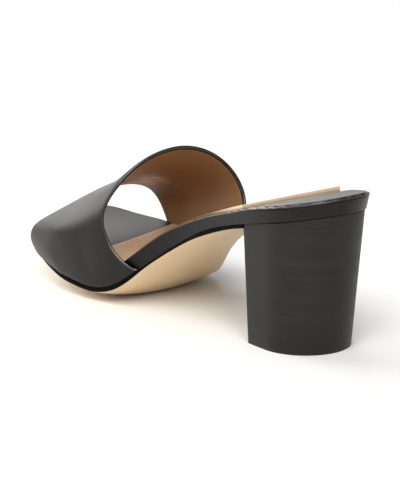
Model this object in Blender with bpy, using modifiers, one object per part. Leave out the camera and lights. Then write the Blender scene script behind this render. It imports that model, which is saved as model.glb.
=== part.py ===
"""A left slide sandal with a block heel, at rest on its sole, in metres and +Z up.

The toe points along -Y and the outer (lateral) side of the foot lies at +X. Shapes are lofted over a
shoemaker's last: "along" runs forward from a plumb line just behind the heel, "across" is positive on
the lateral side and negative on the medial side, and heights are taken from the floor.
"""
import math

import bmesh
import bpy
import numpy as np

# Driving dimensions, in metres.
LENGTH = 0.2265          # footbed, from the back of the seat to the tip of the toe
BALL_WIDTH = 0.0761      # footbed, across the ball of the foot
SEAT_HEIGHT = 0.0661     # floor to the line of the sole at the back of the heel
INSTEP_HEIGHT = 0.0739   # floor to the highest point of the vamp

# Thicknesses and clearances, in metres.
WALL = 0.0020            # vamp: leather and lining together
RIM = 0.0077             # height of the footbed's edge above the outsole
OUTSOLE = 0.0020
SOCK = 0.0011
TOP_PIECE = 0.0055
GAP = 0.0003             # between pieces that touch
CURVED_GAP = 0.0005      # where both of them curve, so that their flats stay apart
RIM_ROUND = 0.0011       # radius of the footbed's edges
SEAT_DOME = 0.0008       # rise of the padded seat in its middle
SOCK_INSET = 0.0008      # sock, in from the edge of the footbed
ROUNDING = (0.0, 0.9, 1.571)  # turns at which the round edge of the rim is drawn, in radians
TIP_WIDTH = 0.030        # rows narrower than this lose their sag
LEAN_CHANGES = 80        # along: behind this the rim's foot leans in, ahead of it the top leans out

# The tables are in millimetres, on a last of this size, and the driving dimensions scale them.
MM = 0.001
ALONG_SCALE = LENGTH / (226.5 * MM)
ACROSS_SCALE = BALL_WIDTH / (76.1 * MM)
RISE_SCALE = SEAT_HEIGHT / (66.1 * MM)
VAMP_SCALE = INSTEP_HEIGHT / (73.9 * MM)

# The middle of the finished shoe's box, where the origin goes.
MIDDLE_ALONG = 0.1145
MIDDLE_ACROSS = -0.0008

# Plan of the footbed, once round from the back of the seat by the lateral side: (along, across).
FOOTBED_PLAN = (
    (1.0, 0.0), (5.1, 13.2), (16.2, 22.8), (31.3, 26.3), (54.0, 25.3), (78.0, 23.7), (104.0, 24.8),
    (130.0, 31.0), (155.0, 36.0), (175.0, 36.7), (195.0, 32.9), (209.0, 26.2), (218.5, 17.2),
    (225.0, 6.0), (227.5, -6.5), (226.2, -17.0), (220.6, -25.6), (209.0, -31.2), (195.0, -37.2),
    (175.0, -39.4), (155.0, -36.0), (130.0, -25.6), (104.0, -18.2), (78.0, -20.4), (54.0, -25.2),
    (31.3, -26.9), (16.2, -23.3), (5.1, -13.4),
)
TOE_TIP = 14             # index in FOOTBED_PLAN of the tip of the toe

# Side view of the sole: height of its lower edge, and how far its middle hangs below that edge.
SOLE_PROFILE = (  # along, rise, sag
    (0, 66.1, 0.2), (20, 61.4, 0.3), (40, 57.2, 0.4), (60, 52.0, 1.2), (80, 45.1, 2.6),
    (100, 35.7, 3.3), (115, 25.8, 3.5), (130, 14.2, 3.8), (140, 7.3, 4.1), (150, 3.4, 4.3),
    (160, 4.1, 4.3), (175, 8.0, 3.9), (195, 10.9, 3.2), (215, 13.3, 2.1), (230, 15.8, 1.4),
)

# How far the outsole's edge stands out from the footbed, and the footbed's top from its underside.
EDGE_PROFILE = (  # along, welt, lean
    (0, 0.5, 1.5), (30, 0.5, 1.4), (55, 0.5, 0.2), (80, 0.5, 0.0), (104, 0.6, 0.0), (124, 1.6, 0.0),
    (145, 2.0, 0.1), (190, 2.0, 0.1), (203, 1.6, 0.0), (214, 0.7, 0.0), (230, 0.6, 0.0),
)

# Outer surface of the vamp: its crown, and on each side its widest line and how high that line is.
VAMP_SECTIONS = (  # along, crown, lateral, lateral height, medial, medial height
    (110, 88.8, 29.3, 35.3, 34.9, 49.4),
    (124, 81.8, 32.7, 37.6, 36.4, 47.1),
    (136, 74.2, 36.6, 37.8, 37.4, 42.7),
    (150, 64.4, 39.1, 33.3, 39.8, 36.5),
    (165, 55.5, 40.6, 29.1, 41.9, 31.5),
    (178, 49.3, 40.9, 27.7, 42.6, 28.8),
    (190, 43.6, 39.0, 27.2, 41.2, 27.3),
    (208, 37.4, 35.1, 25.7, 37.2, 25.7),
)
CREST = (0.7, -10.6)             # across, where the crown lies, at the two ends of CREST_SPAN
LATERAL_FULLNESS = (2.18, 1.67)  # exponents of the superellipses from the widest line to the crown
MEDIAL_FULLNESS = (1.79, 2.54)
CREST_SPAN = (120, 200)

# Where the vamp starts and ends along the foot, around it from the lateral to the medial edge.
VAMP_EDGES = (  # around, topline, toe opening
    (0.00, 122.3, 207.2), (0.05, 128.9, 206.3), (0.10, 134.5, 204.7), (0.16, 139.4, 200.8),
    (0.22, 142.1, 195.2), (0.30, 140.7, 189.1), (0.40, 138.5, 184.7), (0.50, 136.8, 185.0),
    (0.60, 134.9, 189.3), (0.70, 131.5, 194.9), (0.80, 126.1, 199.0), (0.90, 120.0, 196.6),
    (1.00, 110.9, 188.9),
)

# The sock's ends: along at the lateral and at the medial edge, and the bow between them.
SOCK_REAR = (51.0, 43.0, -1.5)
SOCK_FRONT = (176.0, 191.2, -2.0)

# The heel's plan at the floor and at the seat: half an ellipse, then straight to the breast.
HEEL_PLANS = {  # centre along, depth of the ellipse, half width, length to the breast, half breast
    "floor": (34.0, 22.6, 21.8, 14.3, 21.2),
    "seat": (31.3, 28.1, 24.7, 17.8, 23.6),
}

# Faces along and across each loft.
FOOTBED_GRID = (52, 8)
OUTSOLE_GRID = (48, 8)
SOCK_GRID = (30, 6)
HEEL_GRID = (16, 10)
VAMP_GRID = (44, 14)
PLAN_SAMPLES = 1201      # points on each side of the plan, for measuring along it
SECTION_SAMPLES = 161    # points around each section of the vamp


def spline(xs, ys):
    """The natural cubic spline through the points (xs, ys), as a function."""
    xs, ys = np.array(xs, float), np.array(ys, float)
    steps, last = np.diff(xs), len(xs) - 1
    system, load = np.eye(last + 1), np.zeros(last + 1)
    for i in range(1, last):
        system[i, i - 1:i + 2] = steps[i - 1], 2 * (steps[i - 1] + steps[i]), steps[i]
        load[i] = 6 * ((ys[i + 1] - ys[i]) / steps[i] - (ys[i] - ys[i - 1]) / steps[i - 1])
    bend = np.linalg.solve(system, load)

    def value(x):
        x = np.clip(x, xs[0], xs[-1])
        i = np.clip(np.searchsorted(xs, x, side="right") - 1, 0, last - 1)
        before, after, step = x - xs[i], xs[i + 1] - x, steps[i]
        cubic = (bend[i] * after**3 + bend[i + 1] * before**3) / (6 * step)
        start = (ys[i] / step - bend[i] * step / 6) * after
        end = (ys[i + 1] / step - bend[i + 1] * step / 6) * before
        return cubic + start + end

    return value


def columns(table, *scales):
    """One spline for each column of a table after its first, both turned from millimetres to metres."""
    rows = np.array(table, float).T
    return [spline(rows[0] * scales[0], row * scale) for row, scale in zip(rows[1:], scales[1:])]


ALONG, ACROSS = ALONG_SCALE * MM, ACROSS_SCALE * MM
RISE, VAMP = RISE_SCALE * MM, VAMP_SCALE * MM
rise, sag = columns(SOLE_PROFILE, ALONG, RISE, MM)
welt, lean = columns(EDGE_PROFILE, ALONG, MM, MM)
crown, lateral_reach, lateral_height, medial_reach, medial_height = columns(
    VAMP_SECTIONS, ALONG, VAMP, ACROSS, VAMP, ACROSS, VAMP)
topline, toe_opening = columns(VAMP_EDGES, 1.0, ALONG, ALONG)


def plan_loop():
    """The footbed's plan as one closed loop of (along, across) points, and its outward normals."""
    points = np.array(FOOTBED_PLAN) * (ALONG, ACROSS)
    wrap = 3
    loop = np.vstack([points[-wrap:], points, points[:wrap + 1]])
    chord = np.concatenate([[0], np.cumsum(np.hypot(*np.diff(loop, axis=0).T))])
    back, tip, round_again = chord[wrap], chord[wrap + TOE_TIP], chord[wrap + len(points)]
    there = np.linspace(back, tip, PLAN_SAMPLES)[:-1]
    home = np.linspace(tip, round_again, PLAN_SAMPLES)[:-1]
    run = np.concatenate([there, home])
    loop = np.column_stack([spline(chord, loop[:, k])(run) for k in (0, 1)])
    tangent = np.roll(loop, -1, axis=0) - np.roll(loop, 1, axis=0)
    tangent /= np.hypot(*tangent.T)[:, None]
    return loop, np.column_stack([-tangent[:, 1], tangent[:, 0]])


PLAN, OUTWARDS = plan_loop()
SIGN = {"lateral": 1, "medial": -1}


def edge(side, outset=0.0):
    """A side of the plan moved outwards, from heel to toe. The outset may change along it."""
    shift = outset(PLAN[:, 0]) if callable(outset) else outset
    moved = PLAN + OUTWARDS * np.reshape(shift, (-1, 1))
    tip = PLAN_SAMPLES - 1
    return moved[:tip + 1] if side == "lateral" else np.vstack([moved[tip:], moved[:1]])[::-1]


def edge_at(side, along, outset=0.0):
    """How far across a side of the plan lies at a place along it, between the round ends."""
    points = edge(side, outset)
    return np.interp(along, points[:, 0], points[:, 1])


def eased(count, ease=0.5):
    """Fractions from 0 to 1 that crowd towards both ends."""
    even = np.linspace(0, 1, count + 1)
    return (1 - ease) * even + ease * (1 - np.cos(math.pi * even)) / 2


def rows_between(lateral, medial, grid):
    """Rows of (along, across) points from heel to toe, each running from one side to the other."""
    fractions = eased(grid[0])
    ends = []
    for points in (lateral, medial):
        run = np.concatenate([[0], np.cumsum(np.hypot(*np.diff(points, axis=0).T))])
        run /= run[-1]
        ends.append(np.column_stack([np.interp(fractions, run, points[:, k]) for k in (0, 1)]))
    reach = np.linspace(0, 1, grid[1] + 1)[None, :, None]
    return ends[0][:, None] * (1 - reach) + ends[1][:, None] * reach


def bulge(rows):
    """1 in the middle of each row, falling to 0 at both edges and where a row narrows to a tip."""
    reach = np.linspace(-1, 1, rows.shape[1])
    width = np.hypot(*(rows[:, -1] - rows[:, 0]).T)
    return np.minimum(width / TIP_WIDTH, 1)[:, None] * (1 - reach**2)


def underside(rows):
    """Height of the outsole's lower face, which lies flat where it meets the floor."""
    return np.maximum(rise(rows[..., 0]) - sag(rows[..., 0]) * bulge(rows), 0)


def footbed_top(along, middle):
    """Height of the footbed's upper face. The seat is padded, and the rest is flat across."""
    seat = 1 / (1 + np.exp((along - 45 * ALONG) / (3 * ALONG)))
    return rise(along) + OUTSOLE + RIM + SEAT_DOME * seat * middle


def placed(rows, height):
    """Points on the last as positions in the part's frame."""
    height = np.broadcast_to(height, rows.shape[:-1])
    return np.stack([rows[..., 1] - MIDDLE_ACROSS, MIDDLE_ALONG - rows[..., 0], height], axis=-1)


def material(name, colour, roughness, metallic=0.0):
    finish = bpy.data.materials.new(name)
    finish.use_nodes = True
    shader = finish.node_tree.nodes["Principled BSDF"]
    shader.inputs["Base Color"].default_value = (*colour, 1)
    shader.inputs["Roughness"].default_value = roughness
    shader.inputs["Metallic"].default_value = metallic
    return finish


def grid_faces(mesh, points):
    """Adds a grid of points to a bmesh and skins it. Returns its vertices, row by row."""
    vertices = [[mesh.verts.new(point) for point in row] for row in points]
    for row, after in zip(vertices, vertices[1:]):
        for a, b, c, d in zip(row, row[1:], after[1:], after):
            mesh.faces.new((a, b, c, d))
    return vertices


def finished(name, mesh, finish, sharp=40):
    """The bmesh as an object in the sandal's collection, smooth but for its sharp edges."""
    data = bpy.data.meshes.new(name)
    mesh.to_mesh(data)
    mesh.free()
    data.shade_smooth()
    data.set_sharp_from_angle(angle=math.radians(sharp))
    data.materials.append(finish)
    piece = bpy.data.objects.new(name, data)
    sandal.objects.link(piece)
    return piece


def border(rows):
    """The outline of a grid of vertices, once round."""
    right = [row[-1] for row in rows]
    left = [row[0] for row in rows]
    return rows[0] + right[1:] + rows[-1][-2::-1] + left[-2:0:-1]


def plate(name, levels, finish, joined=1e-7):
    """A closed body through grids of points, from its upper face to its lower one.

    The first and last grids are skinned, and the ones between give only their outlines.
    """
    mesh = bmesh.new()
    outlines = []
    for k, points in enumerate(levels):
        if k in (0, len(levels) - 1):
            outlines.append(border(grid_faces(mesh, points)))
        else:
            ring = border([[tuple(point) for point in row] for row in points])
            outlines.append([mesh.verts.new(point) for point in ring])
    for upper_ring, lower_ring in zip(outlines, outlines[1:]):
        for i in range(len(upper_ring)):
            mesh.faces.new((upper_ring[i - 1], upper_ring[i], lower_ring[i], lower_ring[i - 1]))
    bmesh.ops.remove_doubles(mesh, verts=mesh.verts, dist=joined)
    bmesh.ops.recalc_face_normals(mesh, faces=mesh.faces)
    return finished(name, mesh, finish)


def footbed(finish):
    """The platform under the foot, whose rim shows all round and leans out over the heel."""
    def under(along):
        return -lean(along) * (along < LEAN_CHANGES * ALONG)

    def over(along):
        return lean(along) * (along >= LEAN_CHANGES * ALONG)

    grid, levels = FOOTBED_GRID, []
    for turn in ROUNDING:
        inset, drop = RIM_ROUND * (1 - math.sin(turn)), RIM_ROUND * (1 - math.cos(turn))
        rows = rows_between(*(edge(side, lambda along: over(along) - inset) for side in SIGN), grid)
        levels.append(placed(rows, footbed_top(rows[..., 0], bulge(rows)) - drop))
    for turn in reversed(ROUNDING):
        inset, lift = RIM_ROUND * (1 - math.sin(turn)), RIM_ROUND * (1 - math.cos(turn))
        rows = rows_between(*(edge(side, lambda along: under(along) - inset) for side in SIGN), grid)
        levels.append(placed(rows, underside(rows) + OUTSOLE + CURVED_GAP + lift))
    return plate("footbed", levels, finish)


def outsole(finish):
    """The thin sole, from the breast of the heel to the toe."""
    breast = (sum(HEEL_PLANS["seat"][i] for i in (0, 3)) * ALONG) + GAP
    sides = []
    for side in ("lateral", "medial"):
        points = edge(side, welt)
        ahead = points[points[:, 0] > breast]
        start = [[breast, np.interp(breast, points[:, 0], points[:, 1])]]
        sides.append(np.vstack([start, ahead]))
    rows = rows_between(*sides, OUTSOLE_GRID)
    low = underside(rows)
    return plate("outsole", (placed(rows, low + OUTSOLE), placed(rows, low)), finish)


def sock(finish):
    """The leather lining on the footbed, from the seat to the toes."""
    runs = np.linspace(0, 1, SOCK_GRID[0] + 1)
    sides = []
    for k, side in enumerate(("lateral", "medial")):
        along = (SOCK_REAR[k] + (SOCK_FRONT[k] - SOCK_REAR[k]) * runs) * ALONG
        sides.append(np.column_stack([along, edge_at(side, along, -SOCK_INSET)]))
    reach = np.linspace(0, 1, SOCK_GRID[1] + 1)[None, :, None]
    rows = sides[0][:, None] * (1 - reach) + sides[1][:, None] * reach
    bow = SOCK_REAR[2] * (1 - runs)**6 + SOCK_FRONT[2] * runs**6
    rows[..., 0] += bow[:, None] * ALONG * bulge(rows)
    low = footbed_top(rows[..., 0], bulge(rows)) + CURVED_GAP
    return plate("sock", (placed(rows, low + SOCK), placed(rows, low)), finish)


def heel_rows(plan):
    """Rows of (along, across) points over one plan of the heel, from its back to its breast."""
    centre, depth, half_width, run, half_breast = plan
    turns = round(HEEL_GRID[0] * 0.75)
    rows = []
    for angle in np.linspace(0, math.pi / 2, turns + 1):
        rows.append((centre - depth * math.cos(angle), half_width * math.sin(angle)))
    for part in np.linspace(0, 1, HEEL_GRID[0] - turns + 1)[1:]:
        taper = half_width + (half_breast - half_width) * part**2
        rows.append((centre + run * part, taper))
    reach = np.linspace(1, -1, HEEL_GRID[1] + 1)
    return np.array([[(along * ALONG, half * across * ACROSS) for across in reach]
                     for along, half in rows])


def heel_level(height):
    """Rows of the heel at a height, and how far up the heel that is at each point."""
    floor, seat = heel_rows(HEEL_PLANS["floor"]), heel_rows(HEEL_PLANS["seat"])
    full = rise(seat[..., 0]) + OUTSOLE
    return floor + (seat - floor) * (height / full)[..., None]


def heel(finish):
    """The stacked block, under the seat of the footbed."""
    seat = heel_rows(HEEL_PLANS["seat"])
    hollow = sag(seat[..., 0]) * bulge(seat)
    top = placed(seat, rise(seat[..., 0]) + OUTSOLE - hollow)
    bottom = placed(heel_level(TOP_PIECE + GAP), TOP_PIECE + GAP)
    return plate("heel", (top, bottom), finish)


def top_piece(finish):
    """The wearing piece, flat on the floor."""
    top = placed(heel_level(TOP_PIECE), TOP_PIECE)
    return plate("top_piece", (top, placed(heel_level(0.0), 0.0)), finish)


def vamp_section(along):
    """Points around the vamp's outer surface at one place, from the lateral to the medial edge."""
    share = (along / ALONG - CREST_SPAN[0]) / (CREST_SPAN[1] - CREST_SPAN[0])
    crest = (CREST[0] + (CREST[1] - CREST[0]) * share) * ACROSS
    foot = rise(along) + OUTSOLE + CURVED_GAP
    top = crown(along)
    halves = []
    for side, reach, height, fullness in (
            ("lateral", lateral_reach, lateral_height, LATERAL_FULLNESS),
            ("medial", medial_reach, medial_height, MEDIAL_FULLNESS)):
        sign, power = SIGN[side], fullness[0] + (fullness[1] - fullness[0]) * share
        feather = abs(edge_at(side, along)) + WALL + CURVED_GAP
        wide, high = reach(along), height(along)
        climb = np.linspace(0, 1, SECTION_SAMPLES // 4, endpoint=False)
        side_out = feather + (wide - feather) * np.sin(climb * math.pi / 2)
        side_up = foot + (high - foot) * climb
        turn = np.linspace(0, math.pi / 2, SECTION_SAMPLES)
        over_out = sign * crest + (wide - sign * crest) * np.cos(turn)**(2 / power)
        over_up = high + (top - high) * np.sin(turn)**(2 / power)
        out = np.concatenate([side_out, over_out])
        halves.append(np.column_stack([sign * out, np.concatenate([side_up, over_up])]))
    return np.vstack([halves[0], halves[1][-2::-1]])


def vamp_point(along, around):
    """A point on the vamp's outer surface, a fraction of the way around its section."""
    points = vamp_section(along)
    run = np.concatenate([[0], np.cumsum(np.hypot(*np.diff(points, axis=0).T))])
    across, height = (np.interp(around * run[-1], run, points[:, k]) for k in (0, 1))
    return (across - MIDDLE_ACROSS, MIDDLE_ALONG - along, height)


def upper(finish):
    """The vamp: one wall of leather over the foot, open behind, at the toes and underneath."""
    mesh = bmesh.new()
    points = []
    for around in np.linspace(0, 1, VAMP_GRID[0] + 1):
        stations = np.linspace(topline(around), toe_opening(around), VAMP_GRID[1] + 1)
        points.append([vamp_point(along, around) for along in stations])
    grid_faces(mesh, points)
    for face in mesh.faces:
        face.normal_update()
    crown_face = max(mesh.faces, key=lambda face: face.calc_center_median().z)
    if crown_face.normal.z < 0:
        bmesh.ops.reverse_faces(mesh, faces=mesh.faces)
    piece = finished("upper", mesh, finish, sharp=60)
    wall = piece.modifiers.new("wall", "SOLIDIFY")
    wall.thickness = WALL
    wall.offset = -1
    wall.use_even_offset = True
    return piece


for item in list(bpy.data.objects):
    bpy.data.objects.remove(item)
sandal = bpy.data.collections.new("sandal")
bpy.context.scene.collection.children.link(sandal)

upper(material("black leather", (0.022, 0.021, 0.021), 0.38))
footbed(material("black wrap leather", (0.024, 0.023, 0.024), 0.42))
sock(material("tan lining leather", (0.58, 0.40, 0.25), 0.55))
outsole(material("natural sole leather", (0.66, 0.47, 0.29), 0.5))
heel(material("black stacked leather", (0.026, 0.025, 0.025), 0.4))
top_piece(material("black rubber", (0.02, 0.02, 0.02), 0.6))
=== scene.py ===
"""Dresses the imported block-heel slide sandal, a left shoe, and sets it in a plain studio, in metres.

The pieces are laid over the same last as the solids: "along" runs forward from a plumb line just behind
the heel, "across" is positive on the outer (lateral) side, and heights are taken from the floor. A piece
starts as a flat grid of faces, is extruded in edit mode, laid on its levels and finished with modifiers.
"""

import math

import bpy
import numpy as np
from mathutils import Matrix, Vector


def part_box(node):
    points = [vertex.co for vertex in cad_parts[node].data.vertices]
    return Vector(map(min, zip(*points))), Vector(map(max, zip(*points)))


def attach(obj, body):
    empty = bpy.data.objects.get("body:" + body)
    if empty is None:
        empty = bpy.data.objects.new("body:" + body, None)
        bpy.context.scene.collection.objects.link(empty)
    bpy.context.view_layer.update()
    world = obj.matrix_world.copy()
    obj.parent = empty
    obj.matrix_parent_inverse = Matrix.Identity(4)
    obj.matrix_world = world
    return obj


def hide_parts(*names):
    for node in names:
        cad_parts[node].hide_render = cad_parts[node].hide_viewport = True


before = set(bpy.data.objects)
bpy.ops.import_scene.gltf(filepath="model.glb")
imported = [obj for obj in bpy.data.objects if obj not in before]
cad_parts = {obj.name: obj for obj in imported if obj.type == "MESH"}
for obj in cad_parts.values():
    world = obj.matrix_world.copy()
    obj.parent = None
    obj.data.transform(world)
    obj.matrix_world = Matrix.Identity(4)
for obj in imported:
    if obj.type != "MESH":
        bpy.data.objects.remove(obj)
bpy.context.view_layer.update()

MM = 0.001
ROOT = "root"

# The last's plumb line and middle line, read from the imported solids.
MIDDLE_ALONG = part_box("footbed")[1].y + 1.0 * MM
MIDDLE_ACROSS = -(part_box("heel")[0].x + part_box("heel")[1].x) / 2

# Sizes that the pieces share with the solids.
WALL = 2.0 * MM              # vamp: leather and lining together
RIM = 7.7 * MM               # height of the footbed's edge above the outsole
OUTSOLE = 2.0 * MM
TOP_PIECE = 5.5 * MM
CURVED_GAP = 0.5 * MM        # between the vamp and the footbed
SOCK_INSET = 0.8 * MM        # the sock, in from the edge of the footbed
TIP_WIDTH = 30.0 * MM        # rows narrower than this lose their sag
LEAN_CHANGES = 80.0 * MM     # along: behind this the side leans in at its foot, ahead out at its top
CLOSE = 0.1 * MM             # between finished pieces that lie on each other

# The vamp's leather and lining.
VAMP_LEATHER = 1.7 * MM
VAMP_GIRTH = 145 * MM        # about how long the vamp is around, to turn shares of it into lengths
FOOT_TUCK = 0.9 * MM         # how far the leather turns in at its feet
TOE_BELLY = 2.0 * MM         # and how far it stands out over them at the toe
BELLY_SPAN = (165 * MM, 203 * MM)  # along: where that begins and is full
TOE_ROUNDING = 4.5 * MM      # how much its shoulders are rounded there
ROUNDING_SPAN = (155 * MM, 195 * MM)  # along, the same
FOLD_CREASE = 0.95 * MM      # from the folded edge to the crease beside it
CREASE_STEPS = ((0.35, 0.0), (0.15, 0.0), (0.0, 0.22))  # in from the crease and depth there, in mm
FOLD_TURNS = (70, 45, 20, 0, -25, -55, -90)  # from the outer face round to the inner, in degrees
LINING = 0.3 * MM
LINING_INSET = 1.5 * MM      # the lining's cut edge, in from the turned edge of the leather
LINING_FOOT = 3.0 * MM       # and in from the vamp's feet
LINING_GAP = 0.02 * MM       # between the leather and the lining

# The footbed's wrap, rolled round the heel seat.
SEAT_EDGE = 50.0 * MM        # along: where the rolled edge starts to flatten
SEAT_FADES = 18.0 * MM       # and how far ahead of that it is flat
ROLL = 0.45 * MM             # radius of the footbed's upper edge ahead of the seat
BEAD = 0.75 * MM             # and round the seat
ROLL_TURNS = (140, 115, 90, 65, 40, 15, -10)  # from inside the roll, over it to its side, in degrees
COVER_INSET = 0.6 * MM       # the flat top, in from the edge
COVER_STEPS = ((1.25, 0.5), (0.85, 0.45))  # at the seat: how much farther in, and how deep, in mm
SIDE_STEPS = (  # share of the way down the side, and at the seat how deep a crease is there, in mm
    (0.125, 0.35), (0.155, 0.1), (0.2, 0.0), (0.3, 0.0), (0.5, 0.0), (0.92, 0.0),
)
LOWER_EDGE = (0.25, 0.3)     # radius of the footbed's lower edge, and how much more at the seat, in mm
LOWER_EDGE_LEVELS = 4        # how many levels round it
PLEAT = 6.8 * MM             # from one pleat of the rolled edge to the next
PLEAT_DEPTH = 0.42           # how much they change its radius
PLEAT_SLANT = 1.3            # how far a pleat drifts sideways over a turn of one radian
PLEAT_PINCH = 1.8            # above 1, the pleats are broad and the creases between them narrow
PLEAT_WANDER = 0.9           # how uneven their spacing is
WANDER = (4.1 * MM, 3.7 * MM)  # over what lengths it changes, along and across
BACK_SPAN = (7 * MM, 15 * MM)  # along: where pleats counted across give way to pleats counted along

# The seat's pad.
PAD = 1.1 * MM               # how far it rises over the footbed behind the sock
PAD_SPAN = (30 * MM, 45 * MM)  # along: where it flattens under the sock's end
PAD_CROWN = 0.3              # how much of its rise is lost at its sides
PAD_EDGE = 0.5 * MM          # radius of its edge
PAD_EDGE_LEVELS = 5          # how many levels round it
PAD_INSET = 1.4 * MM         # in from the plan
PAD_FOOT = (1.45 * MM, 0.8 * MM)  # its lower face: in from the plan, and under the footbed's top
PAD_FADES = 22.0 * MM        # how far ahead of SEAT_EDGE it has sunk into the cover
PAD_SINK = 0.25 * MM         # and by how much
SEAT_FRONT = 78.0 * MM       # along: where it ends, under the sock

# The sock, in two layers.
SOCK_THIN = 0.5              # thickness under the vamp, in mm
SOCK_SWELL = 1.5             # how much more it is at its rear end, in mm
SWELL_SPAN = (50 * MM, 98 * MM)  # along: where that fades
SOCK_CURL = 0.9              # how much more its rear corner is on the inner side, in mm
CURL_SINK = 0.4              # and how much of that sinks into the pad, in mm
CURL_REACH = 0.16            # share of its length that curls
SOCK_SEAM = 0.42             # how far up the seam between its layers lies
SEAM_GAP = 0.02 * MM         # and how open it is

# Clearances and edges of the sole and the heel.
SOLE_BEVEL = 0.25 * MM       # width of the bevel round the sole's underside
HEEL_TOP_GAP = 0.15 * MM     # under the footbed
HEEL_FOOT_GAP = 0.05 * MM    # over the top piece
HEEL_LEVELS = 9              # levels of the stacked block
ROUND_SHARE = 0.75           # share of the heel's rows that lie over its round back

# The last, in millimetres.
FOOTBED_PLAN = (
    (1.0, 0.0), (5.1, 13.2), (16.2, 22.8), (31.3, 26.3), (54.0, 25.3), (78.0, 23.7), (104.0, 24.8),
    (130.0, 31.0), (155.0, 36.0), (175.0, 36.7), (195.0, 32.9), (209.0, 26.2), (218.5, 17.2),
    (225.0, 6.0), (227.5, -6.5), (226.2, -17.0), (220.6, -25.6), (209.0, -31.2), (195.0, -37.2),
    (175.0, -39.4), (155.0, -36.0), (130.0, -25.6), (104.0, -18.2), (78.0, -20.4), (54.0, -25.2),
    (31.3, -26.9), (16.2, -23.3), (5.1, -13.4),
)
TOE_TIP = 14  # index of the tip of the toe in the plan
SOLE_PROFILE = (  # along, rise, sag
    (0, 66.1, 0.2), (20, 61.4, 0.3), (40, 57.2, 0.4), (60, 52.0, 1.2), (80, 45.1, 2.6),
    (100, 35.7, 3.3), (115, 25.8, 3.5), (130, 14.2, 3.8), (140, 7.3, 4.1), (150, 3.4, 4.3),
    (160, 4.1, 4.3), (175, 8.0, 3.9), (195, 10.9, 3.2), (215, 13.3, 2.1), (230, 15.8, 1.4),
)
SIDE_LEAN = (  # along, how far the footbed's side leans
    (0, 1.5), (30, 1.4), (55, 0.2), (80, 0.0), (104, 0.0), (124, 0.0), (145, 0.1), (190, 0.1),
    (203, 0.0), (214, 0.0), (230, 0.0),
)
SOLE_REACH = (  # along, how far the sole's edge stands out from the plan
    (0, -1.8), (50, -1.7), (66, -1.0), (84, -0.3), (104, 0.4), (124, 1.5), (145, 2.0), (170, 2.4),
    (190, 2.3), (200, 1.4), (208, 0.7), (216, 0.5), (230, 0.6),
)
SOLE_EDGE = (  # along, how far the outer edge lies over the last's line, and how thick it is
    (0, 0.0, 2.0), (50, 0.0, 2.0), (60, 0.2, 1.9), (72, 0.1, 2.2), (84, 0.0, 2.0), (92, -0.2, 1.5),
    (101, -0.6, 1.3), (113, -0.85, 1.2), (120, -1.1, 1.4), (127, -1.75, 1.9), (131, -1.7, 2.1),
    (137, -1.0, 2.1), (142, 0.2, 2.0), (147, 1.3, 1.8), (152, 1.8, 1.8), (158, 1.6, 1.7),
    (163, 1.0, 1.6), (168, 0.2, 1.5), (174, -0.4, 1.0), (181, -0.1, 1.1), (188, 0.4, 1.1),
    (205, 0.4, 1.2), (230, 0.2, 1.2),
)
TOP_LINE = (  # along, how far the footbed's top lies over the last's line
    (0, 0.0), (25, 0.0), (38, -0.1), (47, -0.5), (53, -0.9), (60, -1.2), (66, -1.25), (72, -1.15),
    (80, -0.95), (88, -0.75), (96, -0.4), (102, 0.05), (107, 0.5), (113, 0.7), (122, 0.65),
    (135, 0.3), (150, 0.0), (230, 0.0),
)
VAMP_SECTIONS = (  # along, crown, lateral, lateral height, medial, medial height
    (110, 88.8, 29.3, 35.3, 34.9, 49.4),
    (124, 81.8, 32.7, 37.6, 36.4, 47.1),
    (136, 74.2, 36.6, 37.8, 37.4, 42.7),
    (150, 64.4, 39.1, 33.3, 39.8, 36.5),
    (165, 55.5, 40.6, 29.1, 41.9, 31.5),
    (178, 49.8, 40.9, 27.7, 42.6, 28.8),
    (190, 44.0, 39.0, 27.2, 41.2, 27.3),
    (208, 37.4, 35.1, 25.7, 37.2, 25.7),
)
CREST = (0.7, -10.6)              # across, where the crown lies, at the two ends of CREST_SPAN
CREST_SPAN = (120, 200)
LATERAL_FULLNESS = (2.25, 1.58)   # exponents of the curves from the widest line to the crown, there too
MEDIAL_FULLNESS = (1.79, 2.54)
VAMP_EDGES = (  # around, topline, toe opening
    (0.00, 122.3, 206.3), (0.05, 128.9, 205.1), (0.10, 134.5, 204.2), (0.16, 139.4, 201.1),
    (0.22, 142.1, 195.2), (0.30, 140.7, 189.1), (0.40, 138.5, 184.7), (0.50, 136.8, 185.0),
    (0.60, 134.9, 189.3), (0.70, 131.5, 194.7), (0.80, 126.1, 198.2), (0.90, 120.0, 196.1),
    (1.00, 110.9, 191.8),
)
SOCK_REAR = (48.8, 40.2, -0.4)     # along, at its lateral and medial corners, and how far it bows
SOCK_FRONT = (170.8, 186.0, -2.0)  # the same columns
HEEL_PLANS = {  # centre along, depth of the ellipse, half width, length to the breast, half breast
    "floor": (34.0, 22.6, 21.8, 14.3, 21.2),
    "seat": (31.3, 28.1, 24.7, 17.8, 23.6),
}

# Wrinkles of the lining behind the toe opening: around, along at both ends, then depth and width in mm.
LINING_WRINKLES = (
    (0.41, 163.0, 0.56, 176.5, 0.50, 1.3), (0.45, 172.0, 0.65, 180.5, 0.55, 1.2),
    (0.49, 178.0, 0.70, 185.5, 0.50, 1.1), (0.42, 155.0, 0.54, 166.0, 0.35, 1.6),
    (0.60, 170.0, 0.76, 181.0, 0.30, 1.5), (0.34, 158.0, 0.44, 183.0, 0.30, 1.7),
)
# Soft pulls of the vamp's leather, where it is drawn down over the last. The same columns.
VAMP_PULLS = (
    (0.02, 150.0, 0.17, 158.0, 0.22, 5.0), (0.02, 172.0, 0.14, 176.0, 0.18, 5.0),
    (0.98, 140.0, 0.84, 150.0, 0.20, 5.0), (0.98, 164.0, 0.86, 170.0, 0.18, 5.0),
    (0.33, 152.0, 0.62, 150.0, 0.16, 8.0),
)

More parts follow.
